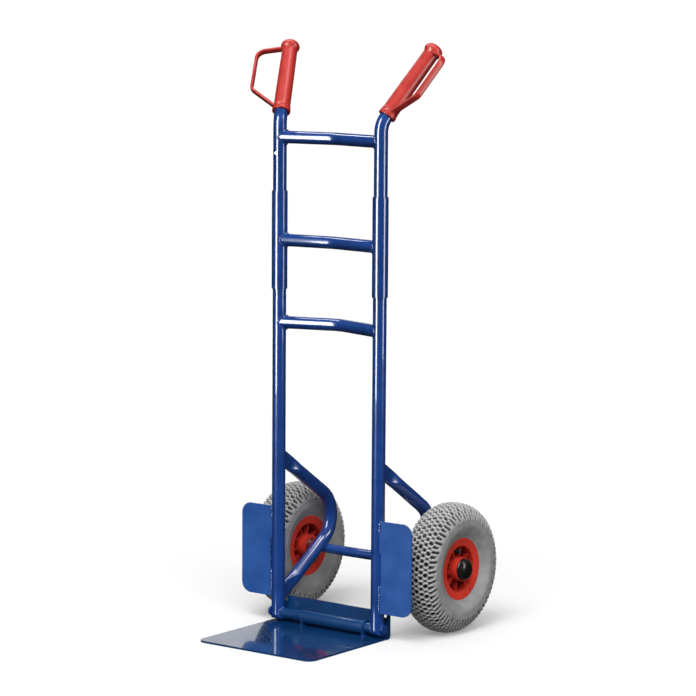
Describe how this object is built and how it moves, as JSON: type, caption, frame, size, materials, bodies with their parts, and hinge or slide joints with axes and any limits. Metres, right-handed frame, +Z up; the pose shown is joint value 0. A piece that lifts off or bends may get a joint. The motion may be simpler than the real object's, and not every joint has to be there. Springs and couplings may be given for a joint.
{
  "type": "hand truck",
  "caption": "Two-wheeled tubular steel hand truck with a folding toe plate, a sliding frame lock, wheel guards, pneumatic wheels and raked grips with hand guards.",
  "frame": {"origin": "on the floor, midway between the two uprights, at the underside of the toe plate", "axes": "+X across the truck from its left to its right, seen from the load side; -Y towards the front edge of the toe plate; +Z up"},
  "size_m": [0.478, 0.514, 1.1673],
  "materials": {
    "blue_paint": "gloss powder coat",
    "plate_paint": "gloss powder coat",
    "red_plastic": "satin",
    "grey_tyre": "matt",
    "black_rubber": "matt",
    "black_plastic": "gloss",
    "zinc_steel": "zinc plated"
  },
  "bodies": {
    "frame": {"left_lower_upright": "blue_paint", "right_lower_upright": "blue_paint", "left_upper_upright": "blue_paint", "right_upper_upright": "blue_paint", "fold_hinge_tongues": "zinc_steel", "fold_hinge_forks": "zinc_steel", "fold_hinge_pins": "zinc_steel", "top_crossbar": "blue_paint", "lower_crossbar": "blue_paint", "left_brace": "blue_paint", "right_brace": "blue_paint", "left_wheel_guard": "plate_paint", "right_wheel_guard": "plate_paint", "axle": "blue_paint", "slide_stop_pin": "zinc_steel", "left_grip": "red_plastic", "right_grip": "red_plastic", "pivot_tube": "blue_paint", "pivot_bolt": "blue_paint", "pivot_nut": "blue_paint", "pivot_washers": "blue_paint", "axle_spacers": "zinc_steel", "axle_washers": "zinc_steel", "split_pins": "zinc_steel"},
    "frame_lock": {"left_lock_sleeve": "blue_paint", "right_lock_sleeve": "blue_paint", "sleeve_crossbar": "blue_paint"},
    "toe": {"toe_plate": "plate_paint", "toe_hinge_tube": "plate_paint", "toe_hinge_lugs": "plate_paint"},
    "left_wheel": {"left_tyre": "grey_tyre", "left_inner_tube": "black_rubber", "left_rim": "red_plastic", "left_valve": "black_rubber", "left_bearing_sleeve": "zinc_steel", "left_roller_bearing": "zinc_steel", "left_hub_cap": "black_plastic"},
    "right_wheel": {"right_tyre": "grey_tyre", "right_inner_tube": "black_rubber", "right_rim": "red_plastic", "right_valve": "black_rubber", "right_bearing_sleeve": "zinc_steel", "right_roller_bearing": "zinc_steel", "right_hub_cap": "black_plastic"}
  },
  "joints": [
    {"name": "toe_fold", "type": "hinge", "parent": "frame", "child": "toe", "pos_m": [0, 0, 0.022], "axis": [-1, 0, 0], "range_deg": [0, 90]},
    {"name": "lock_slide", "type": "slide", "parent": "frame", "child": "frame_lock", "axis": [0, 0, 1], "range_m": [0, 0.07]},
    {"name": "left_wheel_spin", "type": "hinge", "parent": "frame", "child": "left_wheel", "pos_m": [-0.191, 0.149, 0.13], "axis": [1, 0, 0], "continuous": true},
    {"name": "right_wheel_spin", "type": "hinge", "parent": "frame", "child": "right_wheel", "pos_m": [0.191, 0.149, 0.13], "axis": [1, 0, 0], "continuous": true}
  ]
}
